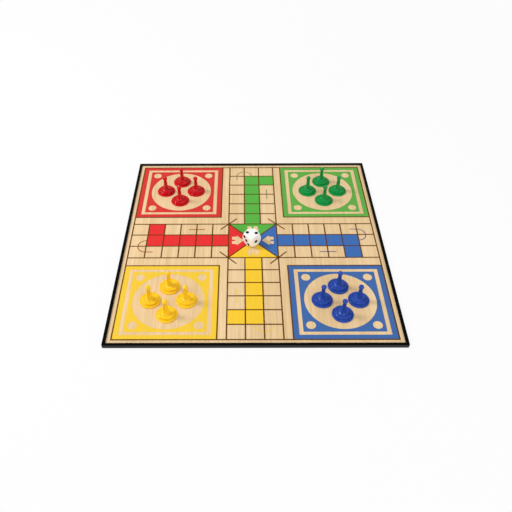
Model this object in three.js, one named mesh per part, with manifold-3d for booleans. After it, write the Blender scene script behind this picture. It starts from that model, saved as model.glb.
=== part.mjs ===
// A ludo board laid out for play: a three-ply panel in a black channel edging, the track printed on
// its face, four pawns in each yard and a die near the middle.
// Millimetres, +Z up. The origin is the middle of the underside, +X is right and +Y is to the back.

import * as THREE from 'three';
import { mergeVertices } from 'three/addons/utils/BufferGeometryUtils.js';
import Module from 'manifold-3d';

// Panel: three plies glued together
const FACE_VENEER = 0.6;
const CORE_PLY = 0.9;
const BACK_VENEER = 0.6;

// Edging: a U channel pushed over each side of the panel and mitred at the corners
const EDGE_LIP_WIDTH = 3.4; // from the outer face to the tip of each lip
const EDGE_TOP_LIP = 1.7;
const EDGE_BOTTOM_LIP = 0.9;
const EDGE_WALL = 1.2;
const EDGE_ROUND = 0.5; // long edges of the channel
const CORNER_ROUND = 1.2; // upright corners of the board
const PANEL_CLEARANCE = 0.3; // from the panel's edge to the channel's wall
const MITRE_GAP = 0.2;

// Print: a colour pass on the veneer and a line pass over it
const INK = 0.1; // thickness of one pass
const LINE_WIDTH = 1.15;
const INK_TRAP = 0.15; // the colours stop this far short of the middle of a line
const PRINT_MARGIN = 4.75; // bare wood from the edging to the border line

// Yard: bare circle round the pawns, colour field, bare frame and colour border.
// It is a little wider (along X) than it is deep (along Y), so each band has two widths.
const PAWNS_PER_YARD = 4;
const PAWN_GAP = 4.8; // between the bases of neighbouring pawns
const CIRCLE_MARGIN = 7.7; // from a pawn's base to the circle
const FIELD_RIM_X = 4; // least colour between the circle and the field's edge
const FIELD_RIM_Y = 3.2;
const FRAME_BAND_X = 4.3;
const FRAME_BAND_Y = 3.9;
const BORDER_BAND_X = 6.2;
const BORDER_BAND_Y = 5.9;
const DOT_DIAMETER = 10;
const DOT_RIM = 3.3; // from a dot to the field's edge
const YARD_GAP = 9.7; // bare strip between a yard and the arm at its side

// Track: a cross with arms three squares wide and six long
const ARM_SQUARES = 6;
const ARM_LANES = 3;
const LANE_SQUARES = 5; // coloured squares of a home lane
const STROKE_REACH = 9.6; // corner strokes of the centre, along X and along Y

// Arrow left bare in each home triangle
const ARROW_MARGIN = 4.2; // from the triangle's base to the tail
const ARROW_SHAFT_LENGTH = 5.5;
const ARROW_SHAFT_WIDTH = 12.4;
const ARROW_HEAD_LENGTH = 8.6;
const ARROW_HEAD_WIDTH = 16.8;
const ARROW_NOTCH_DEPTH = 3.6;
const ARROW_NOTCH_WIDTH = 2.4;

// Pawn: flange, step with a dished top, tapered stem and ball, hollow underneath
const PAWN_BASE_DIAMETER = 22.6;
const PAWN_HEIGHT = 23.5;
const PAWN_FLANGE_WIDTH = 2.6;
const PAWN_FLANGE_HEIGHT = 1.3;
const PAWN_STEP_HEIGHT = 2.7;
const PAWN_SHOULDER = 1.2; // round on the step's upper edge
const PAWN_DISH = 0.6; // depth of the dished top
const PAWN_FOOT_DIAMETER = 6.2; // stem above its fillet
const PAWN_FOOT_FILLET = 3;
const PAWN_NECK_DIAMETER = 3.6; // stem under the ball
const PAWN_BALL_DIAMETER = 5.6;
const PAWN_WALL = 1.4; // over and beside the hollow

// Die: a cube with its corners and edges taken off by a sphere, and a dimple for each pip
const DIE_SIZE = 16;
const DIE_SPHERE_MARGIN = 2.8; // from the middle of a face to the sphere
const PIP_DIAMETER = 3.35;
const PIP_DEPTH = 0.6;
const PIP_GAP = 0.15; // between neighbouring pips
const DIE_RIGHT = -1.5; // where it came to rest, from the middle of the board
const DIE_BACK = -4.2;
const DIE_TURN = 38; // degrees about +Z

// Facets
const PAWN_SIDES = 16;
const PAWN_CURVE_STEPS = 2;
const PAWN_BALL_STEPS = 5;
const CIRCLE_SIDES = 40;
const DOT_SIDES = 12;
const EDGE_CURVE_STEPS = 2;
const DIE_SIDES = 32;
const DIE_RINGS = 18;
const PIP_SIDES = 10;
const PIP_RINGS = 2;
const MERGE_DISTANCE = 1e-4;
const CUT_MARGIN = 1; // how far a cutter reaches past what it cuts

// Heights
const PANEL_BASE = EDGE_BOTTOM_LIP;
const CORE_BASE = PANEL_BASE + BACK_VENEER;
const FACE_BASE = CORE_BASE + CORE_PLY;
const FACE_TOP = FACE_BASE + FACE_VENEER;
const LINE_BASE = FACE_TOP + INK;
const LINE_TOP = LINE_BASE + INK;
const EDGE_HEIGHT = FACE_TOP + EDGE_TOP_LIP;

// Layout, from the pawns outwards: circle, field, yard, squares of the track, board
const PAWN_CHORD = PAWN_BASE_DIAMETER + PAWN_GAP;
const PAWN_SPREAD = PAWN_CHORD / (2 * Math.sin(Math.PI / PAWNS_PER_YARD));
const CIRCLE_RADIUS = PAWN_SPREAD + PAWN_BASE_DIAMETER / 2 + CIRCLE_MARGIN;
const FIELD_HALF_X = CIRCLE_RADIUS + FIELD_RIM_X;
const FIELD_HALF_Y = CIRCLE_RADIUS + FIELD_RIM_Y;
const YARD_HALF_X = FIELD_HALF_X + FRAME_BAND_X + BORDER_BAND_X;
const YARD_HALF_Y = FIELD_HALF_Y + FRAME_BAND_Y + BORDER_BAND_Y;
const DOT_INSET = DOT_RIM + DOT_DIAMETER / 2;
const SQUARE = (2 * YARD_HALF_X + YARD_GAP) / ARM_SQUARES;
const CENTRE_HALF = (ARM_LANES * SQUARE) / 2;
const GRID_HALF = CENTRE_HALF + ARM_SQUARES * SQUARE;
const YARD_CENTRE_X = GRID_HALF - YARD_HALF_X;
const YARD_CENTRE_Y = GRID_HALF - YARD_HALF_Y;
const BOARD_HALF = GRID_HALF + PRINT_MARGIN + EDGE_LIP_WIDTH;
const PANEL_SIDE = 2 * (BOARD_HALF - EDGE_WALL - PANEL_CLEARANCE);

// The players in order round the board, from the front-left yard towards the right, with the
// directions of their corner. Each one's lane is that of the first, turned a quarter further.
const PLAYERS = [
  { name: 'yellow', side: -1, end: -1, ink: 0xfbce42, plastic: 0xf5b41c },
  { name: 'blue', side: 1, end: -1, ink: 0x446fb2, plastic: 0x2b3fa0 },
  { name: 'green', side: 1, end: 1, ink: 0x5cb54b, plastic: 0x0f8a4c },
  { name: 'red', side: -1, end: 1, ink: 0xe63c3b, plastic: 0xb01822 },
];
const EDGE_SIDES = ['front', 'right', 'back', 'left'];
const QUARTER_TURN = Math.PI / 2;

const VENEER_COLOUR = 0xeccc9c;
const CORE_COLOUR = 0xc9a06c;
const EDGE_COLOUR = 0x101010;
const LINE_COLOUR = 0x46300f;
const DIE_COLOUR = 0xf4f3ee;
const WOOD_ROUGHNESS = 0.6;
const EDGE_ROUGHNESS = 0.45;
const INK_ROUGHNESS = 0.5;
const GLOSS_ROUGHNESS = 0.25; // pawns and die

const wasm = await Module();
wasm.setup();

// A closed solid of a geometry, with shared corners merged and collapsed faces left out.
function toSolid(geometry) {
  const bare = geometry.clone();
  bare.deleteAttribute('normal');
  bare.deleteAttribute('uv');
  const merged = mergeVertices(bare, MERGE_DISTANCE);
  const corners = [];
  for (let i = 0; i < merged.index.count; i += 3) {
    const face = [merged.index.getX(i), merged.index.getX(i + 1), merged.index.getX(i + 2)];
    if (new Set(face).size === face.length) {
      corners.push(...face);
    }
  }
  const vertProperties = new Float32Array(merged.attributes.position.array);
  const triVerts = new Uint32Array(corners);
  return new wasm.Manifold(new wasm.Mesh({ numProp: 3, vertProperties, triVerts }));
}

function toGeometry(solid) {
  const { vertProperties, triVerts } = solid.getMesh();
  const geometry = new THREE.BufferGeometry();
  geometry.setAttribute('position', new THREE.BufferAttribute(vertProperties, 3));
  geometry.setIndex(new THREE.BufferAttribute(triVerts, 1));
  geometry.computeVertexNormals();
  return geometry;
}

function piece(name, geometry, color, roughness, height = 0) {
  const mesh = new THREE.Mesh(geometry, new THREE.MeshStandardMaterial({ color, roughness }));
  mesh.name = name;
  mesh.position.z = height;
  return mesh;
}

function quarterGroup(quarter) {
  const group = new THREE.Group();
  group.rotation.z = quarter * QUARTER_TURN;
  return group;
}

function outline(corners, Kind = THREE.Shape) {
  return new Kind(corners.map(([x, y]) => new THREE.Vector2(x, y)));
}

function rectangle(left, front, right, back) {
  return [[left, front], [right, front], [right, back], [left, back]];
}

// A rectangle about the origin.
function block(halfX, halfY) {
  return rectangle(-halfX, -halfY, halfX, halfY);
}

function square(x, y, half) {
  return rectangle(x - half, y - half, x + half, y + half);
}

function circle(x, y, radius, sides) {
  return Array.from({ length: sides }, (_, i) => {
    const angle = (2 * Math.PI * i) / sides;
    return [x + radius * Math.cos(angle), y + radius * Math.sin(angle)];
  });
}

function prism(corners, bottom, top, windows = []) {
  const shape = outline(corners);
  shape.holes = windows.map((window) => outline(window, THREE.Path));
  const upright = new THREE.ExtrudeGeometry(shape, { depth: top - bottom, bevelEnabled: false });
  return upright.translate(0, 0, bottom);
}

// One pass of ink with windows left bare in it.
function film(corners, windows = []) {
  return prism(corners, 0, INK, windows);
}

function ply(name, thickness, height, color) {
  const sheet = new THREE.BoxGeometry(PANEL_SIDE, PANEL_SIDE, thickness);
  return piece(name, sheet.translate(0, 0, thickness / 2), color, WOOD_ROUGHNESS, height);
}

// Section of the edging: inwards from the outer face along X, upwards along Y.
function edgeSection() {
  const section = new THREE.Shape();
  section.moveTo(EDGE_ROUND, 0);
  section.lineTo(EDGE_LIP_WIDTH, 0);
  section.lineTo(EDGE_LIP_WIDTH, EDGE_BOTTOM_LIP);
  section.lineTo(EDGE_WALL, EDGE_BOTTOM_LIP);
  section.lineTo(EDGE_WALL, FACE_TOP);
  section.lineTo(EDGE_LIP_WIDTH, FACE_TOP);
  section.lineTo(EDGE_LIP_WIDTH, EDGE_HEIGHT - EDGE_ROUND);
  section.quadraticCurveTo(EDGE_LIP_WIDTH, EDGE_HEIGHT, EDGE_LIP_WIDTH - EDGE_ROUND, EDGE_HEIGHT);
  section.lineTo(EDGE_ROUND, EDGE_HEIGHT);
  section.quadraticCurveTo(0, EDGE_HEIGHT, 0, EDGE_HEIGHT - EDGE_ROUND);
  section.lineTo(0, EDGE_ROUND);
  section.quadraticCurveTo(0, 0, EDGE_ROUND, 0);
  return section;
}

// What the rounding of an upright corner takes off; side is 1 at the right end and -1 at the left.
function cornerCutter(side) {
  const centre = BOARD_HALF - CORNER_ROUND;
  const outside = BOARD_HALF + CUT_MARGIN;
  const steps = 2 * EDGE_CURVE_STEPS;
  const arc = Array.from({ length: steps + 1 }, (_, i) => {
    const angle = (QUARTER_TURN * i) / steps;
    return [
      side * (centre + CORNER_ROUND * Math.sin(angle)),
      -(centre + CORNER_ROUND * Math.cos(angle)),
    ];
  });
  const corners = [
    ...arc,
    [side * outside, -centre],
    [side * outside, -outside],
    [side * centre, -outside],
  ];
  return toSolid(prism(corners, -CUT_MARGIN, EDGE_HEIGHT + CUT_MARGIN));
}

// The front strip: its section drawn out along X, with each end slid back to the mitre.
function edgeStrip() {
  const strip = new THREE.ExtrudeGeometry(edgeSection(), {
    depth: 1,
    bevelEnabled: false,
    curveSegments: EDGE_CURVE_STEPS,
  });
  const mitreSetback = MITRE_GAP / Math.SQRT2;
  const position = strip.attributes.position;
  for (let i = 0; i < position.count; i += 1) {
    const inwards = position.getX(i);
    const upwards = position.getY(i);
    const end = position.getZ(i) > 0 ? 1 : -1;
    const reach = BOARD_HALF - inwards - mitreSetback;
    position.setXYZ(i, end * reach, inwards - BOARD_HALF, upwards);
  }
  return toGeometry(toSolid(strip).subtract(cornerCutter(1)).subtract(cornerCutter(-1)));
}

// A yard, about its own middle.
function yardBorder() {
  const windows = [block(FIELD_HALF_X + FRAME_BAND_X, FIELD_HALF_Y + FRAME_BAND_Y)];
  return film(block(YARD_HALF_X - INK_TRAP, YARD_HALF_Y - INK_TRAP), windows);
}

function yardField() {
  const dots = block(FIELD_HALF_X - DOT_INSET, FIELD_HALF_Y - DOT_INSET);
  const windows = [
    circle(0, 0, CIRCLE_RADIUS, CIRCLE_SIDES),
    ...dots.map(([x, y]) => circle(x, y, DOT_DIAMETER / 2, DOT_SIDES)),
  ];
  return film(block(FIELD_HALF_X, FIELD_HALF_Y), windows);
}

function placeInYard(mesh, player) {
  mesh.position.x += player.side * YARD_CENTRE_X;
  mesh.position.y += player.end * YARD_CENTRE_Y;
  return mesh;
}

// The first player's lane runs out along the front arm, and its start square is beside the end.
function homeLane() {
  const laneSide = SQUARE / 2 - INK_TRAP;
  const startSide = laneSide + SQUARE;
  const inner = -(CENTRE_HALF + INK_TRAP);
  const outer = -(CENTRE_HALF + LANE_SQUARES * SQUARE - INK_TRAP);
  const startInner = -(CENTRE_HALF + (LANE_SQUARES - 1) * SQUARE + INK_TRAP);
  return film([
    [laneSide, inner],
    [-laneSide, inner],
    [-laneSide, startInner],
    [-startSide, startInner],
    [-startSide, outer],
    [laneSide, outer],
  ]);
}

// Outline of the front quarter of the centre, drawn in from its sides by an inset.
function centreTriangle(inset) {
  const base = CENTRE_HALF - inset;
  const tip = inset * Math.SQRT2;
  return [[-(base - tip), -base], [base - tip, -base], [0, -tip]];
}

// The arrow points to the middle of the board, with a notch in its tail.
function homeTriangle() {
  const tail = -(CENTRE_HALF - ARROW_MARGIN);
  const neck = tail + ARROW_SHAFT_LENGTH;
  const tip = neck + ARROW_HEAD_LENGTH;
  const half = [
    [ARROW_NOTCH_WIDTH / 2, tail + ARROW_NOTCH_DEPTH],
    [ARROW_NOTCH_WIDTH / 2, tail],
    [ARROW_SHAFT_WIDTH / 2, tail],
    [ARROW_SHAFT_WIDTH / 2, neck],
    [ARROW_HEAD_WIDTH / 2, neck],
  ];
  const otherHalf = half.map(([x, y]) => [-x, y]).reverse();
  return film(centreTriangle(INK_TRAP), [[...half, [0, tip], ...otherHalf]]);
}

function turned([x, y], quarter) {
  return [[x, y], [-y, x], [-x, -y], [y, -x]][quarter];
}

// Windows between the lines of the front arm and of the front triangle of the centre.
function armWindows() {
  const half = LINE_WIDTH / 2;
  const windows = [centreTriangle(half)];
  for (let row = 0; row < ARM_SQUARES; row += 1) {
    const y = -(CENTRE_HALF + (row + 0.5) * SQUARE);
    for (let lane = 0; lane < ARM_LANES; lane += 1) {
      windows.push(square((lane + 0.5) * SQUARE - CENTRE_HALF, y, SQUARE / 2 - half));
    }
  }
  return windows;
}

// Windows between the lines in a player's corner: the yard and the bare strip round it.
function cornerWindows(player) {
  const half = LINE_WIDTH / 2;
  const border = GRID_HALF - half;
  const arm = CENTRE_HALF + half;
  const yardX = GRID_HALF - 2 * YARD_HALF_X;
  const yardY = GRID_HALF - 2 * YARD_HALF_Y;
  const yard = rectangle(yardX + half, yardY + half, border, border);
  const strip = [
    [border, yardY - half],
    [yardX - half, yardY - half],
    [yardX - half, border],
    [arm, border],
    [arm, arm],
    [border, arm],
  ];
  return [yard, strip].map((window) => window.map(([x, y]) => [player.side * x, player.end * y]));
}

// A short stroke across each corner of the centre, square to the diagonal.
function cornerStroke(quarter) {
  const [x, y] = turned([-CENTRE_HALF, -CENTRE_HALF], quarter);
  const stroke = new THREE.BoxGeometry(2 * Math.SQRT2 * STROKE_REACH, LINE_WIDTH, INK);
  stroke.rotateZ(quarter * QUARTER_TURN - QUARTER_TURN / 2);
  return toSolid(stroke.translate(x, y, INK / 2));
}

// A sheet of ink over the whole track, with every window cut out of it and the strokes added.
function trackLines() {
  let lines = toSolid(film(square(0, 0, GRID_HALF + LINE_WIDTH / 2)));
  PLAYERS.forEach((player, quarter) => {
    const arm = armWindows().map((window) => window.map((corner) => turned(corner, quarter)));
    for (const window of [...arm, ...cornerWindows(player)]) {
      lines = lines.subtract(toSolid(prism(window, -CUT_MARGIN, INK + CUT_MARGIN)));
    }
  });
  PLAYERS.forEach((player, quarter) => {
    lines = lines.add(cornerStroke(quarter));
  });
  return toGeometry(lines);
}

// Half section of a pawn, from the roof of the hollow round to the top of the ball.
function pawnProfile() {
  const baseRadius = PAWN_BASE_DIAMETER / 2;
  const stepRadius = baseRadius - PAWN_FLANGE_WIDTH;
  const stepTop = PAWN_FLANGE_HEIGHT + PAWN_STEP_HEIGHT;
  const dishBottom = stepTop - PAWN_DISH;
  const footRadius = PAWN_FOOT_DIAMETER / 2;
  const filletRadius = footRadius + PAWN_FOOT_FILLET;
  const rimRadius = stepRadius - PAWN_SHOULDER;
  const hollowRadius = stepRadius - PAWN_WALL;
  const hollowTop = dishBottom - PAWN_WALL;
  const ballRadius = PAWN_BALL_DIAMETER / 2;
  const neckAngle = Math.acos(PAWN_NECK_DIAMETER / PAWN_BALL_DIAMETER);
  const profile = new THREE.Path();
  profile.moveTo(0, hollowTop);
  profile.lineTo(hollowRadius, hollowTop);
  profile.lineTo(hollowRadius, 0);
  profile.lineTo(baseRadius, 0);
  profile.lineTo(baseRadius, PAWN_FLANGE_HEIGHT);
  profile.lineTo(stepRadius, PAWN_FLANGE_HEIGHT);
  profile.lineTo(stepRadius, stepTop - PAWN_SHOULDER);
  profile.quadraticCurveTo(stepRadius, stepTop, rimRadius, stepTop);
  profile.quadraticCurveTo((rimRadius + filletRadius) / 2, dishBottom, filletRadius, dishBottom);
  profile.quadraticCurveTo(footRadius, dishBottom, footRadius, dishBottom + PAWN_FOOT_FILLET);
  const ballMiddle = PAWN_HEIGHT - ballRadius;
  const ball = new THREE.EllipseCurve(0, ballMiddle, ballRadius, ballRadius, -neckAngle, QUARTER_TURN);
  return [...profile.getPoints(PAWN_CURVE_STEPS), ...ball.getPoints(PAWN_BALL_STEPS)];
}

function pawnGeometry() {
  const points = pawnProfile();
  points[points.length - 1].x = 0;
  return new THREE.LatheGeometry(points, PAWN_SIDES).rotateX(QUARTER_TURN);
}

// The pips of a face, as columns and rows of a grid with its origin in the middle.
function pipGrid(count) {
  const diagonal = [[-1, 1], [1, -1]];
  const otherDiagonal = [[-1, -1], [1, 1]];
  return [
    ...(count % 2 === 1 ? [[0, 0]] : []),
    ...(count > 1 ? diagonal : []),
    ...(count > 3 ? otherDiagonal : []),
    ...(count === 6 ? [[-1, 0], [1, 0]] : []),
  ];
}

// The faces of the die: their pips, their outward direction and the direction of the grid's columns.
// Opposite faces add up to seven.
const DIE_FACES = [
  { pips: 1, out: [0, -1, 0], along: [1, 0, 0] },
  { pips: 6, out: [0, 1, 0], along: [-1, 0, 0] },
  { pips: 2, out: [0, 0, 1], along: [1, 0, 0] },
  { pips: 5, out: [0, 0, -1], along: [1, 0, 0] },
  { pips: 3, out: [-1, 0, 0], along: [0, -1, 0] },
  { pips: 4, out: [1, 0, 0], along: [0, 1, 0] },
];

// A bowl with its rim in the plane y = 0 and a cylinder above it, to sink a pip.
function pipCutter() {
  const radius = PIP_DIAMETER / 2;
  const bowl = Array.from({ length: PIP_RINGS + 1 }, (_, i) => {
    const share = i / PIP_RINGS;
    return new THREE.Vector2(radius * share, -PIP_DEPTH * (1 - share * share));
  });
  const top = [new THREE.Vector2(radius, CUT_MARGIN), new THREE.Vector2(0, CUT_MARGIN)];
  return new THREE.LatheGeometry([...bowl, ...top], PIP_SIDES);
}

function dieGeometry() {
  const half = DIE_SIZE / 2;
  const spacing = PIP_DIAMETER + PIP_GAP;
  const cube = new THREE.BoxGeometry(DIE_SIZE, DIE_SIZE, DIE_SIZE);
  const sphere = new THREE.SphereGeometry(half + DIE_SPHERE_MARGIN, DIE_SIDES, DIE_RINGS);
  let solid = toSolid(cube).intersect(toSolid(sphere));
  for (const face of DIE_FACES) {
    const out = new THREE.Vector3(...face.out);
    const along = new THREE.Vector3(...face.along);
    const across = new THREE.Vector3().crossVectors(out, along);
    const turn = new THREE.Matrix4().makeBasis(along, out, across.clone().negate());
    for (const [column, row] of pipGrid(face.pips)) {
      const place = out.clone().multiplyScalar(half);
      place.addScaledVector(along, column * spacing).addScaledVector(across, row * spacing);
      const cutter = pipCutter().applyMatrix4(turn).translate(place.x, place.y, place.z);
      solid = solid.subtract(toSolid(cutter));
    }
  }
  return toGeometry(solid).translate(0, 0, half);
}

function panelAndEdging() {
  const group = new THREE.Group();
  group.add(ply('back_veneer', BACK_VENEER, PANEL_BASE, VENEER_COLOUR));
  group.add(ply('core_ply', CORE_PLY, CORE_BASE, CORE_COLOUR));
  group.add(ply('face_veneer', FACE_VENEER, FACE_BASE, VENEER_COLOUR));
  const strip = edgeStrip();
  EDGE_SIDES.forEach((side, quarter) => {
    const turn = quarterGroup(quarter);
    turn.add(piece(`edge_${side}`, strip, EDGE_COLOUR, EDGE_ROUGHNESS));
    group.add(turn);
  });
  return group;
}

function print() {
  const group = new THREE.Group();
  const yard = { yard_border: yardBorder(), yard_field: yardField() };
  const lane = { home_lane: homeLane(), home_triangle: homeTriangle() };
  PLAYERS.forEach((player, quarter) => {
    const pass = ([name, geometry]) => (
      piece(`${player.name}_${name}`, geometry, player.ink, INK_ROUGHNESS, FACE_TOP)
    );
    const turn = quarterGroup(quarter);
    turn.add(...Object.entries(lane).map(pass));
    group.add(turn, ...Object.entries(yard).map((entry) => placeInYard(pass(entry), player)));
  });
  group.add(piece('track_lines', trackLines(), LINE_COLOUR, INK_ROUGHNESS, LINE_BASE));
  return group;
}

function pawns() {
  const group = new THREE.Group();
  const geometry = pawnGeometry();
  for (const player of PLAYERS) {
    circle(0, 0, PAWN_SPREAD, PAWNS_PER_YARD).forEach(([x, y], i) => {
      const name = `${player.name}_pawn_${i + 1}`;
      const pawn = piece(name, geometry, player.plastic, GLOSS_ROUGHNESS, FACE_TOP);
      pawn.position.x = x;
      pawn.position.y = y;
      group.add(placeInYard(pawn, player));
    });
  }
  return group;
}

function die() {
  const mesh = piece('die', dieGeometry(), DIE_COLOUR, GLOSS_ROUGHNESS, LINE_TOP);
  mesh.position.x = DIE_RIGHT;
  mesh.position.y = DIE_BACK;
  mesh.rotation.z = THREE.MathUtils.degToRad(DIE_TURN);
  return mesh;
}

const ludoBoard = new THREE.Group();
ludoBoard.add(panelAndEdging(), print(), pawns(), die());

export default ludoBoard;
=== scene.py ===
"""The looks of a ludo board: a varnished panel with a printed track, black edging, pawns and a die."""

import math

import bmesh
import bpy
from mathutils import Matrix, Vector


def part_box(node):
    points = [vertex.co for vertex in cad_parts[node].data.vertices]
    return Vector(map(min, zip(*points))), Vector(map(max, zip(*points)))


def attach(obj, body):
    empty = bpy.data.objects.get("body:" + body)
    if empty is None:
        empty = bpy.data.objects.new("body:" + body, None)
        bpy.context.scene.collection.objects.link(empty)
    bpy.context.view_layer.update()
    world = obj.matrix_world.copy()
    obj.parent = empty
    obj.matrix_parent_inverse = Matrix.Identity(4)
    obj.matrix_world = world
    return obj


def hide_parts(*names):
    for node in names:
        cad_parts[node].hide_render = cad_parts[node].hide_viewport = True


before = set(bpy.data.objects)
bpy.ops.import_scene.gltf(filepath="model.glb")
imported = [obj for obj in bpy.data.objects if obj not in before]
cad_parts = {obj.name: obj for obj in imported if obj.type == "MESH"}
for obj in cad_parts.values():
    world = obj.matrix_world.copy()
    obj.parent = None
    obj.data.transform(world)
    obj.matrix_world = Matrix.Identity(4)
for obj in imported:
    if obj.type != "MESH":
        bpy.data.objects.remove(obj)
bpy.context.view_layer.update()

# Names in the frame, by quarter turns from the front
PLAYERS = ("yellow", "blue", "green", "red")
EDGE_SIDES = ("front", "right", "back", "left")

# Lengths are in metres
MM = 0.001
MERGE_DISTANCE = 0.001 * MM

# Edging: a channel over each side of the panel, mitred at the corners
EDGE_LIP_WIDTH = 3.4 * MM
EDGE_BOTTOM_LIP = 0.9 * MM
EDGE_WALL = 1.2 * MM
EDGE_ROUND = 0.5 * MM
EDGE_ROUND_STEPS = 5
CORNER_ROUND = 1.2 * MM
CORNER_STEPS = 8
MITRE_ANGLE = math.radians(45)
MITRE_GAP = 0.05 * MM
SHARP_EDGE = math.radians(40)

# Print: films of ink, with lines whose ink has run past the walls of their node
FILM_THICKNESS = 0.1 * MM
LINE_WIDTH = 1.15 * MM
LINE_SPREAD = 0.1 * MM
SIGN_WIDTH = 1.05 * MM
GRID_SQUARES = 15
FIELD_RIM_X = 4 * MM
DOT_DIAMETER = 10 * MM
DOT_RIM = 3.3 * MM
CIRCLE_SIDES = 160
DOT_SIDES = 48

# Walls of a film: the most that one looks up or down, and how alike two must face to count as one
WALL_TILT = 0.5
WALL_LIKENESS = 0.99

# Signs printed on the track, in squares from the middle of the board, for the front arm
STROKE_COLUMN = -1
STROKE_LENGTH = 1
STROKE_ROWS = {"yellow": 4.5, "blue": 4.5, "green": 4.5, "red": 3.5}
CURVE_START = (1, -6.05)
CURVE_MIDDLE = (0.5, -6.5)
CURVE_RADIUS = 0.5
CURVE_STEPS = 24

# Pawn: its node gives the width of the base and the height
PAWN_NUMBERS = (1, 2, 3, 4)
PAWN_FLANGE_WIDTH = 2.6 * MM
PAWN_FLANGE_HEIGHT = 1.3 * MM
PAWN_STEP_HEIGHT = 2.7 * MM
PAWN_SHOULDER = 1.2 * MM
PAWN_SHOULDER_ROUND = 0.84 * MM
PAWN_DISH = 0.6 * MM
PAWN_FOOT_DIAMETER = 6.2 * MM
PAWN_FOOT_FILLET = 3 * MM
PAWN_NECK_DIAMETER = 3.6 * MM
PAWN_BALL_DIAMETER = 5.6 * MM
PAWN_WALL = 1.4 * MM
PAWN_EDGE_ROUND = 0.45 * MM
PAWN_SIDES = 72
PAWN_FILLET_STEPS = 6
PAWN_BALL_STEPS = 16

# Die: a cube that a sphere cuts, with the ridge between the two softened
DIE_SPHERE_MARGIN = 2.8 * MM
DIE_RIDGE_ROUND = 0.25 * MM
DIE_TURN = math.radians(38)
DIE_CELLS = 64
PIP_RADIUS = 2.1 * MM
PIP_DEPTH = 0.6 * MM
PIP_SPACING = 3.7 * MM
SIX_SPACING = 4.35 * MM

# Faces of the die: the number of pips, the way it faces and the way its rows run
DIE_FACES = (
    (1, (0, -1, 0), (1, 0, 0)),
    (6, (0, 1, 0), (-1, 0, 0)),
    (2, (0, 0, 1), (1, 0, 0)),
    (5, (0, 0, -1), (1, 0, 0)),
    (3, (-1, 0, 0), (0, -1, 0)),
    (4, (1, 0, 0), (0, 1, 0)),
)

# Camera: where it stands and how it looks down at the board
CAMERA_PLACE = (-13.04 * MM, -477.55 * MM, 453.87 * MM)
CAMERA_TURN = [math.radians(angle) for angle in (45.034, 0.342, 0.131)]
CAMERA_LENS = 39.06
CAMERA_SHIFT = 0.0339

# Room: pale walls that fade to a dim ceiling, between two heights of a direction of length 1
WHITE_LIGHT = (1, 1, 1, 1)
WALL_LIGHT = 1
CEILING_LIGHT = 0.3
WALL_TOP = 0.2
CEILING_START = 0.6

# Lamps: a key light from the left, a soft light overhead and a fill light from the front right
KEY_PLACE = (-1, 0.15, 1)
KEY_SIZE = 0.5
KEY_POWER = 11
TOP_PLACE = (0.1, 0.1, 1.6)
TOP_SIZE = 1.2
TOP_POWER = 5.8
FILL_PLACE = (0.75, -1, 0.5)
FILL_SIZE = 0.8
FILL_POWER = 4.2

# Floor: its reach, its drop below the board, and how white it looks near the board and far from it
FLOOR_REACH = 4
FLOOR_DROP = 0.05 * MM
FLOOR_NEAR_WHITE = 0.9
FLOOR_FAR_WHITE = 1
FLOOR_FADE_START = 0.45
FLOOR_FADE_END = 1.5

# Materials: colours are red, green and blue from 0 to 255, and most of a noise lies in its range
FULL_COLOUR = 255
NOISE_RANGE = (0.3, 0.7)
BUMP_DEPTH = 0.05 * MM

# Wood, whose grain is made of noises drawn out along the fibres
VENEER_GRAIN = "Y"
CORE_GRAIN = "X"
WOOD_LIGHT = (240, 209, 163)
WOOD_DARK = (219, 185, 135)
WOOD_PORE = (203, 163, 112)
CORE_LIGHT = (214, 176, 124)
CORE_DARK = (176, 132, 84)
STREAKS = {"squeeze": 0.03, "scale": 420, "detail": 5, "roughness": 0.6}
BANDS = {"squeeze": 0.12, "scale": 38, "detail": 2, "roughness": 0.55}
PORES = {"squeeze": 0.02, "scale": 1500, "detail": 2, "roughness": 0.55}
STREAK_SHARE = 0.6
BAND_SHARE = 0.4
TONE_RANGE = (0.36, 0.64)
PORE_RANGE = (0.6, 0.72)
PORE_STRENGTH = 0.3
WOOD_ROUGHNESS = (0.42, 0.55)
WOOD_SHINE = 0.2
WOOD_BUMP = 0.12

# Ink, duller in the yards than in the lanes and the centre
LANE_INKS = {"yellow": (249, 203, 50), "blue": (61, 109, 180), "green": (89, 179, 68), "red": (232, 47, 47)}
YARD_INKS = {"yellow": (246, 203, 57), "blue": (64, 106, 171), "green": (99, 174, 71), "red": (216, 54, 49)}
SIGN_INKS = {"yellow": (240, 200, 88), "blue": (78, 76, 122), "green": (122, 144, 66), "red": (160, 60, 36)}
LINE_INK = (98, 58, 4)
MOTTLE = {"scale": 260, "detail": 4, "roughness": 0.6}
UNEVENNESS = 0.1
DULLING = 0.72
INK_ROUGHNESS = (0.4, 0.55)
INK_SHINE = 0.15
LINE_SHINE = 0.05
INK_BUMP = 0.08

# Black plastic of the edging, which counts as side or top by how far up it faces; its sides get a painted
# grey reflection, streaked by a noise
EDGING_TOP = (2, 2, 2)
# Grey of the painted reflection on the upright sides
EDGING_SIDE_REFLECTION = (53, 53, 54)
SIDE_TO_TOP = (0.2, 0.8)
# Streaks that vary the roughness and the painted side reflection, and how strong that painted reflection
# gets
EDGING_STREAKS = {"scale": 140, "detail": 4, "roughness": 0.65}
EDGING_STREAK_SQUEEZE = (1, 1, 6)
REFLECTION_STREAK_RANGE = (0.2, 0.8)
SIDE_REFLECTION_STRENGTH = (0.8, 1.2)
GRIT = {"scale": 1800, "detail": 3, "roughness": 0.55}
EDGING_ROUGHNESS = (0.32, 0.45)
EDGING_SHINE = 0.05
EDGING_BUMP = 0.1
EDGING_BUMP_DEPTH = 0.04 * MM

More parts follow.
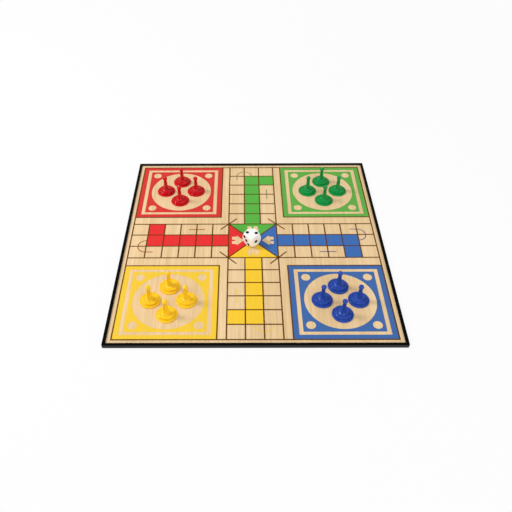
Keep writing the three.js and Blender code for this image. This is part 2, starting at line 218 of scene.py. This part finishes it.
# Glossy plastic of the pawns and the die, with a deeper tint in its flow lines
PLASTICS = {"yellow": (255, 206, 34), "blue": (42, 80, 172), "green": (0, 152, 70), "red": (202, 12, 22)}
PLASTIC_SCATTER = 0.8 * MM
IVORY = (248, 247, 242)
IVORY_SCATTER = 4 * MM
SCATTER_SHARE = 0.5
SCATTER_TINT = (1, 0.6, 0.4)
DEEP_TINT = 1.2
FLOW = {"scale": 120, "detail": 4, "roughness": 0.6}
FLOW_SQUEEZE = (1, 1, 0.35)
FLOW_RANGE = (0.35, 0.7)
SKIN = {"scale": 700, "detail": 3, "roughness": 0.55}
PLASTIC_ROUGHNESS = (0.14, 0.24)
PLASTIC_SHINE = 0.3
PLASTIC_BUMP = 0.06

# Paint in the pips, a little uneven
PAINT_BLACK = (3, 3, 3)
PAINT_PALE = (6, 6, 6)
PAINT_CLOUDS = {"scale": 900, "detail": 3, "roughness": 0.55}
PAINT_ROUGHNESS = (0.3, 0.5)
PAINT_SHINE = 0.1

# Paper of the floor
PAPER_LIGHT = (240, 240, 240)
PAPER_DARK = (233, 233, 233)
PAPER_FIBRE = {"scale": 300, "detail": 3, "roughness": 0.55}
PAPER_ROUGHNESS = 0.9
PAPER_SHINE = 0.1


def linear(colour):
    """A colour in linear light, by the sRGB formula, with alpha."""
    shares = [value / FULL_COLOUR for value in colour]
    return (*[s / 12.92 if s <= 0.04045 else ((s + 0.055) / 1.055) ** 2.4 for s in shares], 1)


class Shader:
    """The nodes of a material or of the world, added one call at a time."""

    def __init__(self, owner, surface="Principled BSDF"):
        owner.use_nodes = True
        self.owner = owner
        self.nodes = owner.node_tree.nodes
        self.links = owner.node_tree.links
        self.surface = self.nodes[surface]

    def node(self, kind, inputs=None, **settings):
        """A new node with its settings and inputs."""
        made = self.nodes.new("ShaderNode" + kind)
        for key, value in settings.items():
            setattr(made, key, value)
        for key, value in (inputs or {}).items():
            self.feed(made.inputs[key], value)
        return made

    def feed(self, socket, value):
        """Links another node's output to a socket, or sets the socket to a constant."""
        if isinstance(value, bpy.types.NodeSocket):
            self.links.new(value, socket)
        else:
            socket.default_value = value

    def set(self, **inputs):
        """Feeds sockets of the surface shader, with _ for each space in a socket's name."""
        for key, value in inputs.items():
            self.feed(self.surface.inputs[key.replace("_", " ")], value)

    def place(self, squeeze=(1, 1, 1)):
        """Coordinates in metres, times a factor for each axis."""
        place = self.node("TexCoord").outputs["Object"]
        return self.node("Mapping", {"Vector": place, "Scale": squeeze}).outputs["Vector"]

    def noise(self, place, scale, detail, roughness):
        """A noise between 0 and 1."""
        inputs = {"Vector": place, "Scale": scale, "Detail": detail, "Roughness": roughness}
        return self.node("TexNoise", inputs).outputs["Fac"]

    def ramp(self, value, low, high, to_low=0, to_high=1):
        """A value from low to high, brought to another range and held there."""
        inputs = {"Value": value, "From Min": low, "From Max": high, "To Min": to_low, "To Max": to_high}
        return self.node("MapRange", inputs).outputs["Result"]

    def mix(self, share, first, second):
        """The first colour with a share of the second."""
        made = self.node("Mix", {"Factor": share}, data_type="RGBA")
        for socket, colour in zip([s for s in made.inputs if s.type == "RGBA"], (first, second)):
            self.feed(socket, colour)
        return next(s for s in made.outputs if s.type == "RGBA")

    def math(self, operation, first, second):
        """What an operation makes of two values."""
        made = self.node("Math", operation=operation)
        self.feed(made.inputs[0], first)
        self.feed(made.inputs[1], second)
        return made.outputs[0]

    def bump(self, height, strength, depth=BUMP_DEPTH):
        """Relief on the surface."""
        inputs = {"Height": height, "Strength": strength, "Distance": depth}
        self.set(Normal=self.node("Bump", inputs).outputs["Normal"])


def fibres(shader, along, squeeze, **noise):
    """A noise drawn out along one axis."""
    factors = [squeeze if axis == along else 1 for axis in "XYZ"]
    return shader.noise(shader.place(factors), **noise)


def grain(shader, along):
    """Tone and pores of a sliced veneer whose fibres run along one axis, both from 0 to 1."""
    streaks = shader.math("MULTIPLY", fibres(shader, along, **STREAKS), STREAK_SHARE)
    bands = shader.math("MULTIPLY", fibres(shader, along, **BANDS), BAND_SHARE)
    tone = shader.ramp(shader.math("ADD", streaks, bands), *TONE_RANGE)
    pores = shader.ramp(fibres(shader, along, **PORES), *PORE_RANGE)
    return tone, pores


def wood(name, light, dark, along):
    """Wood whose grain runs along one axis."""
    shader = Shader(bpy.data.materials.new(name))
    tone, pores = grain(shader, along)
    bare = shader.mix(tone, linear(light), linear(dark))
    pored = shader.math("MULTIPLY", pores, PORE_STRENGTH)
    shader.set(Base_Color=shader.mix(pored, bare, linear(WOOD_PORE)))
    shader.set(Roughness=shader.ramp(tone, 0, 1, *WOOD_ROUGHNESS))
    shader.set(Specular_IOR_Level=WOOD_SHINE)
    shader.bump(shader.math("ADD", tone, pores), WOOD_BUMP)
    return shader.owner


def ink(name, colour, shine=INK_SHINE):
    """Printing ink on veneer: the grain shows faintly and the colour is a little mottled."""
    shader = Shader(bpy.data.materials.new(name))
    tone, pores = grain(shader, VENEER_GRAIN)
    mottle = shader.noise(shader.place(), **MOTTLE)
    uneven = shader.math("MULTIPLY", shader.math("ADD", tone, mottle), UNEVENNESS)
    dull = [value * DULLING for value in colour]
    shader.set(Base_Color=shader.mix(uneven, linear(colour), linear(dull)))
    shader.set(Roughness=shader.ramp(mottle, *NOISE_RANGE, *INK_ROUGHNESS))
    shader.set(Specular_IOR_Level=shine)
    shader.bump(shader.math("ADD", tone, pores), INK_BUMP)
    return shader.owner


def black_plastic(name):
    """Extruded black plastic, deep black on top, with a painted grey reflection on its sides in streaks."""
    shader = Shader(bpy.data.materials.new(name))
    grit = shader.noise(shader.place(), **GRIT)
    edging_streaks = shader.noise(shader.place(EDGING_STREAK_SQUEEZE), **EDGING_STREAKS)
    facing = shader.node("NewGeometry").outputs["Normal"]
    upwards = shader.node("SeparateXYZ", {"Vector": facing}).outputs["Z"]
    # Painted reflection: faces that look sideways are lightened to grey, by an amount that varies in
    # streaks
    side = shader.ramp(upwards, *SIDE_TO_TOP, 1, 0)
    painted_reflection = shader.math("MULTIPLY", side, shader.ramp(edging_streaks, *REFLECTION_STREAK_RANGE, *SIDE_REFLECTION_STRENGTH))
    shader.set(Base_Color=shader.mix(painted_reflection, linear(EDGING_TOP), linear(EDGING_SIDE_REFLECTION)))
    shader.set(Roughness=shader.ramp(edging_streaks, *NOISE_RANGE, *EDGING_ROUGHNESS))
    shader.set(Specular_IOR_Level=EDGING_SHINE)
    shader.bump(grit, EDGING_BUMP, EDGING_BUMP_DEPTH)
    return shader.owner


def glossy_plastic(name, colour, scatter):
    """Moulded plastic with a slightly wavy skin and a deeper colour in its flow lines."""
    shader = Shader(bpy.data.materials.new(name))
    flow = shader.noise(shader.place(FLOW_SQUEEZE), **FLOW)
    skin = shader.noise(shader.place(), **SKIN)
    deep = [FULL_COLOUR * (value / FULL_COLOUR) ** DEEP_TINT for value in colour]
    shader.set(Base_Color=shader.mix(shader.ramp(flow, *FLOW_RANGE), linear(colour), linear(deep)))
    shader.set(Roughness=shader.ramp(skin, *NOISE_RANGE, *PLASTIC_ROUGHNESS))
    shader.set(Specular_IOR_Level=PLASTIC_SHINE)
    shader.set(Subsurface_Weight=SCATTER_SHARE, Subsurface_Radius=SCATTER_TINT, Subsurface_Scale=scatter)
    shader.bump(skin, PLASTIC_BUMP)
    return shader.owner


def pip_paint(name):
    """Black paint in the pips of the die."""
    shader = Shader(bpy.data.materials.new(name))
    clouds = shader.noise(shader.place(), **PAINT_CLOUDS)
    shader.set(Base_Color=shader.mix(clouds, linear(PAINT_BLACK), linear(PAINT_PALE)))
    shader.set(Roughness=shader.ramp(clouds, *NOISE_RANGE, *PAINT_ROUGHNESS))
    shader.set(Specular_IOR_Level=PAINT_SHINE)
    return shader.owner


def floor_paper(name):
    """White paper: seen straight on or in a reflection it is white, with a weak shadow near the board."""
    shader = Shader(bpy.data.materials.new(name))
    fibre = shader.noise(shader.place(), **PAPER_FIBRE)
    tone = shader.mix(fibre, linear(PAPER_LIGHT), linear(PAPER_DARK))
    shader.set(Base_Color=tone, Roughness=PAPER_ROUGHNESS, Specular_IOR_Level=PAPER_SHINE)
    path = shader.node("LightPath").outputs
    seen = shader.math("MAXIMUM", path["Is Camera Ray"], path["Is Glossy Ray"])
    seen = shader.math("MAXIMUM", seen, path["Is Transmission Ray"])
    distance = shader.node("VectorMath", {"Vector": shader.place()}, operation="LENGTH").outputs["Value"]
    white = shader.ramp(distance, FLOOR_FADE_START, FLOOR_FADE_END, FLOOR_NEAR_WHITE, FLOOR_FAR_WHITE)
    glow = shader.node("Emission", {"Color": WHITE_LIGHT, "Strength": 1}).outputs["Emission"]
    blended = shader.node("MixShader", {"Fac": shader.math("MULTIPLY", seen, white)})
    shader.feed(blended.inputs[1], shader.surface.outputs["BSDF"])
    shader.feed(blended.inputs[2], glow)
    shader.feed(shader.nodes["Material Output"].inputs["Surface"], blended.outputs["Shader"])
    return shader.owner


def dress(node, material):
    """Gives a CAD node its material."""
    node.data.materials.clear()
    node.data.materials.append(material)


def add(name, mesh, *materials):
    """A new object in the scene, from a mesh and the materials that it gets."""
    for material in materials:
        mesh.materials.append(material)
    piece = bpy.data.objects.new(name, mesh)
    bpy.context.scene.collection.objects.link(piece)
    return piece


def merge(shape):
    """Joins the points of a shape that lie in one place."""
    bmesh.ops.remove_doubles(shape, verts=shape.verts, dist=MERGE_DISTANCE)


def to_mesh(name, shape, smooth=True):
    """A mesh from a finished shape, with its faces turned outwards."""
    bmesh.ops.recalc_face_normals(shape, faces=shape.faces)
    mesh = bpy.data.meshes.new(name)
    shape.to_mesh(mesh)
    shape.free()
    for polygon in mesh.polygons:
        polygon.use_smooth = smooth
    return mesh


def rounded(corners, steps):
    """A profile from corners (across, up, rounding), with an arc at each corner that has a rounding."""
    points = []
    for i, (across, up, rounding) in enumerate(corners):
        here = Vector((across, up))
        if not rounding:
            points.append(here)
            continue
        before = (Vector(corners[i - 1][:2]) - here).normalized()
        after = (Vector(corners[i + 1][:2]) - here).normalized()
        half = before.angle(after) / 2
        middle = here + (before + after).normalized() * rounding / math.sin(half)
        first = (here + before * rounding / math.tan(half) - middle).normalized()
        last = (here + after * rounding / math.tan(half) - middle).normalized()
        points += [middle + first.slerp(last, step / steps) * rounding for step in range(steps + 1)]
    return points


def edge_section(face, height):
    """Section of the channel, inwards from the side of the board and upwards from its underside."""
    lip = EDGE_LIP_WIDTH
    return rounded([
        (EDGE_WALL, EDGE_BOTTOM_LIP, 0),
        (lip, EDGE_BOTTOM_LIP, 0),
        (lip, 0, 0),
        (0, 0, EDGE_ROUND),
        (0, height, EDGE_ROUND),
        (lip, height, EDGE_ROUND),
        (lip, face, 0),
        (EDGE_WALL, face, 0),
    ], EDGE_ROUND_STEPS)


def edge_rib(section, half, end, turn=None):
    """The section near one end of the front strip: where its straight stretch stops, or at a turn."""
    bend = half - CORNER_ROUND
    setback = MITRE_GAP / math.sqrt(2)
    points = []
    for inwards, up in section:
        x = min(bend, half - inwards)
        y = half - inwards
        if turn is not None:
            radius = CORNER_ROUND - inwards
            x = bend + radius * math.sin(turn) if radius > 0 else y
            y = bend + radius * math.cos(turn) if radius > 0 else y
        points.append((end * (x - setback), -y, up))
    return points


def edge_mesh(name, half, face, height):
    """The front strip: ribs round both corners up to the mitres, with a straight stretch between them."""
    section = edge_section(face, height)
    turns = [MITRE_ANGLE * i / CORNER_STEPS for i in range(1, CORNER_STEPS + 1)]
    left = [edge_rib(section, half, -1, turn) for turn in reversed(turns)]
    right = [edge_rib(section, half, 1, turn) for turn in turns]
    ribs = [*left, edge_rib(section, half, -1), edge_rib(section, half, 1), *right]
    shape = bmesh.new()
    rings = [[shape.verts.new(point) for point in rib] for rib in ribs]
    for ring, following in zip(rings, rings[1:]):
        for i in range(len(section)):
            shape.faces.new((ring[i - 1], ring[i], following[i], following[i - 1]))
    shape.faces.new(rings[0])
    shape.faces.new(rings[-1])
    merge(shape)
    return to_mesh(name, shape)


def edging(material):
    """The four strips: the front one, and copies of it a quarter turn apart."""
    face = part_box("face_veneer")[1].z
    low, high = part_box("edge_front")
    mesh = edge_mesh("edging_strip", -low.y, face, high.z)
    mesh.set_sharp_from_angle(angle=SHARP_EDGE)
    mesh.materials.append(material)
    for quarter, side in enumerate(EDGE_SIDES):
        piece = add(f"{side}_edging_strip", mesh)
        piece.rotation_euler.z = quarter * math.pi / 2
        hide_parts(f"edge_{side}")
        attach(piece, "board")


def film(name, outlines, bottom, material):
    """A film of ink with the first outline as its edge and the others as windows in it."""
    curve = bpy.data.curves.new(name, "CURVE")
    curve.dimensions = "2D"
    curve.fill_mode = "BOTH"
    curve.extrude = FILM_THICKNESS / 2
    for outline in outlines:
        spline = curve.splines.new("POLY")
        spline.points.add(len(outline) - 1)
        for point, (x, y) in zip(spline.points, outline):
            point.co = (x, y, 0, 1)
        spline.use_cyclic_u = True
    drawn = bpy.data.objects.new(name, curve)
    bpy.context.scene.collection.objects.link(drawn)
    seen = drawn.evaluated_get(bpy.context.evaluated_depsgraph_get())
    shape = bmesh.new()
    shape.from_mesh(seen.to_mesh())
    bpy.data.objects.remove(drawn)
    merge(shape)
    bmesh.ops.translate(shape, verts=shape.verts, vec=(0, 0, bottom + FILM_THICKNESS / 2))
    return add(name, to_mesh(name, shape, smooth=False), material)


def wall_directions(corner):
    """Directions that the upright walls at a corner of a film face."""
    walls = []
    for face in corner.link_faces:
        upright = abs(face.normal.z) < WALL_TILT
        if upright and all(face.normal.dot(wall) < WALL_LIKENESS for wall in walls):
            walls.append(face.normal.copy())
    return walls


def line_print(material):
    """The film of lines, with each wall moved outwards by the spread of the ink."""
    shape = bmesh.new()
    shape.from_mesh(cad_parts["track_lines"].data)
    merge(shape)
    shape.normal_update()
    for corner in shape.verts:
        walls = wall_directions(corner)
        if walls:
            outwards = sum(walls, Vector((0, 0, 0)))
            corner.co += outwards * len(walls) / outwards.length_squared * LINE_SPREAD
    piece = add("track_line_print", to_mesh("track_line_print", shape, smooth=False), material)
    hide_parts("track_lines")
    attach(piece, "board")


def circle(x, y, radius, sides):
    """Outline of a circle."""
    turns = [2 * math.pi * i / sides for i in range(sides)]
    return [(x + radius * math.cos(turn), y + radius * math.sin(turn)) for turn in turns]


def yard_field(player, material):
    """A yard's field with smooth windows for the circle and the dots."""
    node = f"{player}_yard_field"
    low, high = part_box(node)
    middle = (low + high) / 2
    half = (high - low) / 2
    inset = DOT_RIM + DOT_DIAMETER / 2
    outlines = [
        [(low.x, low.y), (high.x, low.y), (high.x, high.y), (low.x, high.y)],
        circle(middle.x, middle.y, half.x - FIELD_RIM_X, CIRCLE_SIDES),
    ]
    for side in (-1, 1):
        for end in (-1, 1):
            x = middle.x + side * (half.x - inset)
            y = middle.y + end * (half.y - inset)
            outlines.append(circle(x, y, DOT_DIAMETER / 2, DOT_SIDES))
    piece = film(f"{player}_field_print", outlines, low.z, material)
    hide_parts(node)
    return piece


def ribbon(path, width):
    """Outline of a line of even width along a path."""
    points = [Vector(point) for point in path]
    sides = []
    for i, point in enumerate(points):
        along = (points[min(i + 1, len(points) - 1)] - points[max(i - 1, 0)]).normalized()
        sides.append((point, Vector((-along.y, along.x)) * width / 2))
    return [p + s for p, s in sides] + [p - s for p, s in reversed(sides)]


def turned(point, quarter):
    """A point of the front arm, on the arm that is so many quarter turns further round."""
    x, y = point
    return ((x, y), (-y, x), (-x, -y), (y, -x))[quarter]


def signs(player, quarter, square, material):
    """The short stroke beside a home lane and the curve that turns into the lane."""
    row = STROKE_ROWS[player]
    ends = (row - STROKE_LENGTH / 2, row + STROKE_LENGTH / 2)
    stroke = [(STROKE_COLUMN, -end) for end in ends]
    turns = [math.pi * i / CURVE_STEPS for i in range(CURVE_STEPS + 1)]
    x, y = CURVE_MIDDLE
    arc = [(x + CURVE_RADIUS * math.cos(turn), y - CURVE_RADIUS * math.sin(turn)) for turn in turns]
    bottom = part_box("face_veneer")[1].z
    pieces = []
    for sign, path in (("stroke", stroke), ("curve", [CURVE_START, *arc])):
        placed = [Vector(turned(point, quarter)) * square for point in path]
        pieces.append(film(f"{player}_way_{sign}", [ribbon(placed, SIGN_WIDTH)], bottom, material))
    return pieces


def pawn_mesh(name, base, height):
    """A pawn, hollow underneath, from the radius of its base and its height."""
    foot = PAWN_FOOT_DIAMETER / 2
    neck = PAWN_NECK_DIAMETER / 2
    ball = PAWN_BALL_DIAMETER / 2
    step = base - PAWN_FLANGE_WIDTH
    step_top = PAWN_FLANGE_HEIGHT + PAWN_STEP_HEIGHT
    dish = step_top - PAWN_DISH
    hollow = step - PAWN_WALL
    meet = math.acos(neck / ball)
    edge = PAWN_EDGE_ROUND
    ball_middle = height - ball
    corners = [
        (0, dish - PAWN_WALL, 0),
        (hollow, dish - PAWN_WALL, edge),
        (hollow, 0, edge / 2),
        (base, 0, edge / 2),
        (base, PAWN_FLANGE_HEIGHT, edge),
        (step, PAWN_FLANGE_HEIGHT, edge / 2),
        (step, step_top, PAWN_SHOULDER_ROUND),
        (step - PAWN_SHOULDER, step_top, edge),
        (foot, dish, PAWN_FOOT_FILLET),
        (neck, ball_middle - ball * math.sin(meet), 0),
    ]
    profile = rounded(corners, PAWN_FILLET_STEPS)
    for i in range(1, PAWN_BALL_STEPS + 1):
        turn = -meet + (math.pi / 2 + meet) * i / PAWN_BALL_STEPS
        profile.append(Vector((ball * math.cos(turn), ball_middle + ball * math.sin(turn))))
    shape = bmesh.new()
    rim = [shape.verts.new((across, 0, up)) for across, up in profile]
    edges = [shape.edges.new(pair) for pair in zip(rim, rim[1:])]
    bmesh.ops.spin(
        shape, geom=rim + edges, axis=(0, 0, 1), cent=(0, 0, 0),
        steps=PAWN_SIDES, angle=2 * math.pi, use_merge=True,
    )
    merge(shape)
    return to_mesh(name, shape)


def pawns(player, material):
    """A player's pawns, which share one mesh."""
    low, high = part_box(f"{player}_pawn_1")
    mesh = pawn_mesh(f"{player}_pawn", (high.x - low.x) / 2, high.z - low.z)
    mesh.materials.append(material)
    for number in PAWN_NUMBERS:
        node = f"{player}_pawn_{number}"
        low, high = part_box(node)
        piece = add(f"{player}_moulded_pawn_{number}", mesh)
        piece.location = ((low.x + high.x) / 2, (low.y + high.y) / 2, low.z)
        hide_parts(node)
        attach(piece, node)


def pip_places(count):
    """Middles of the pips on a face, from the middle of the face."""
    places = [(0, 0)] if count % 2 else []
    places += [(-1, 1), (1, -1)] if count > 1 else []
    places += [(-1, -1), (1, 1)] if count > 3 else []
    places += [(-1, 0), (1, 0)] if count == 6 else []
    along_column = SIX_SPACING if count == 6 else PIP_SPACING
    return [Vector((x * PIP_SPACING, y * along_column)) for x, y in places]


def from_rim(flat, pips, cell):
    """A point of a face, moved onto the rim of a pip if it is near, and how far outside the rim it is."""
    pip = min(pips, key=lambda place: (flat - place).length)
    offset = flat - pip
    outside = offset.length - PIP_RADIUS
    if abs(outside) < cell / 2:
        return pip + offset.normalized() * PIP_RADIUS, 0
    return flat, outside


def die_point(flat, outside, out, along, across, half):
    """A point of a die's face: round where the sphere cuts the cube, sunk inside a pip."""
    point = out * half + along * flat.x + across * flat.y
    past = (point.length - half - DIE_SPHERE_MARGIN) / DIE_RIDGE_ROUND
    trim = DIE_RIDGE_ROUND * math.log1p(math.exp(past))
    reach = min(1, 1 + outside / PIP_RADIUS)
    return point * (1 - trim / point.length) - out * PIP_DEPTH * (1 - reach ** 2)


def die_cell(shape, corners):
    """A cell of a face, from (point, outside) pairs, cut in two where a rim runs across it."""
    outsides = [outside for _, outside in corners]
    pieces = [corners]
    if min(outsides) < 0 < max(outsides):
        on_rim = outsides.index(0)
        ring = corners[on_rim:] + corners[:on_rim]
        pieces = [ring[:3], [ring[0], *ring[2:]]]
    for piece in pieces:
        face = shape.faces.new([point for point, _ in piece])
        face.material_index = int(min(outside for _, outside in piece) < 0)


def die_mesh(name, half):
    """A die that stands on the origin, from half its side; its second material is for the pips."""
    shape = bmesh.new()
    cell = 2 * half / DIE_CELLS
    ticks = [cell * i - half for i in range(DIE_CELLS + 1)]
    for count, out, along in DIE_FACES:
        out, along = Vector(out), Vector(along)
        across = out.cross(along)
        pips = pip_places(count)
        rows = []
        for y in ticks:
            spots = [from_rim(Vector((x, y)), pips, cell) for x in ticks]
            points = [die_point(*spot, out, along, across, half) for spot in spots]
            rows.append([(shape.verts.new(point), spot[1]) for point, spot in zip(points, spots)])
        for row, back in zip(rows, rows[1:]):
            for i in range(DIE_CELLS):
                die_cell(shape, [row[i], row[i + 1], back[i + 1], back[i]])
    merge(shape)
    bmesh.ops.translate(shape, verts=shape.verts, vec=(0, 0, half))
    return to_mesh(name, shape)


def die(material, paint):
    """The die, turned as it lies in the middle of the board."""
    low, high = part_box("die")
    piece = add("moulded_die", die_mesh("moulded_die", (high.z - low.z) / 2), material, paint)
    piece.location = ((low.x + high.x) / 2, (low.y + high.y) / 2, low.z)
    piece.rotation_euler.z = DIE_TURN
    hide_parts("die")
    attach(piece, "die")


def board():
    """The panel of three plies and its edging."""
    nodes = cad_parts
    veneer = wood("veneer", WOOD_LIGHT, WOOD_DARK, VENEER_GRAIN)
    dress(nodes["face_veneer"], veneer)
    dress(nodes["back_veneer"], veneer)
    dress(nodes["core_ply"], wood("core", CORE_LIGHT, CORE_DARK, CORE_GRAIN))
    edging(black_plastic("edging"))


def print_layers():
    """The lines, and each player's colours and signs."""
    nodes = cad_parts
    low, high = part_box("track_lines")
    square = (high.x - low.x - LINE_WIDTH) / GRID_SQUARES
    line_print(ink("line_ink", LINE_INK, LINE_SHINE))
    for quarter, player in enumerate(PLAYERS):
        lane_ink = ink(f"{player}_ink", LANE_INKS[player])
        dress(nodes[f"{player}_home_lane"], lane_ink)
        dress(nodes[f"{player}_home_triangle"], lane_ink)
        yard_ink = ink(f"{player}_yard_ink", YARD_INKS[player])
        dress(nodes[f"{player}_yard_border"], yard_ink)
        sign_ink = ink(f"{player}_sign_ink", SIGN_INKS[player])
        for piece in (yard_field(player, yard_ink), *signs(player, quarter, square, sign_ink)):
            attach(piece, "board")


def game_pieces():
    """The pawns of all players and the die."""
    for player in PLAYERS:
        pawns(player, glossy_plastic(f"{player}_plastic", PLASTICS[player], PLASTIC_SCATTER))
    die(glossy_plastic("die_plastic", IVORY, IVORY_SCATTER), pip_paint("pip_paint"))


def camera():
    """The camera, at the photograph's viewing angle."""
    data = bpy.data.cameras.new("camera")
    data.lens = CAMERA_LENS
    data.shift_x = CAMERA_SHIFT
    viewer = bpy.data.objects.new("camera", data)
    viewer.location = CAMERA_PLACE
    viewer.rotation_euler = CAMERA_TURN
    bpy.context.scene.collection.objects.link(viewer)
    bpy.context.scene.camera = viewer


def area_light(name, place, size, power):
    """A round lamp that faces the middle of the board."""
    data = bpy.data.lights.new(name, "AREA")
    data.shape = "DISK"
    data.size = size
    data.energy = power
    lamp = bpy.data.objects.new(name, data)
    lamp.location = place
    lamp.rotation_euler = (-Vector(place)).to_track_quat("-Z", "Y").to_euler()
    bpy.context.scene.collection.objects.link(lamp)


def room(name):
    """Pale walls that fade to a dim ceiling."""
    world = bpy.data.worlds.new(name)
    shader = Shader(world, "Background")
    direction = shader.node("TexCoord").outputs["Generated"]
    height = shader.node("SeparateXYZ", {"Vector": direction}).outputs["Z"]
    light = shader.ramp(height, WALL_TOP, CEILING_START, WALL_LIGHT, CEILING_LIGHT)
    shader.set(Color=WHITE_LIGHT, Strength=light)
    return world


def ground():
    """The floor that the board lies on."""
    shape = bmesh.new()
    bmesh.ops.create_grid(shape, x_segments=1, y_segments=1, size=FLOOR_REACH)
    floor = add("floor", to_mesh("floor", shape), floor_paper("floor_paper"))
    floor.location.z = -FLOOR_DROP


def studio():
    """Room, lamps and floor."""
    scene = bpy.context.scene
    scene.view_settings.view_transform = "Standard"
    scene.world = room("room")
    area_light("key_light", KEY_PLACE, KEY_SIZE, KEY_POWER)
    area_light("top_light", TOP_PLACE, TOP_SIZE, TOP_POWER)
    area_light("fill_light", FILL_PLACE, FILL_SIZE, FILL_POWER)
    ground()


board()
print_layers()
game_pieces()
camera()
studio()
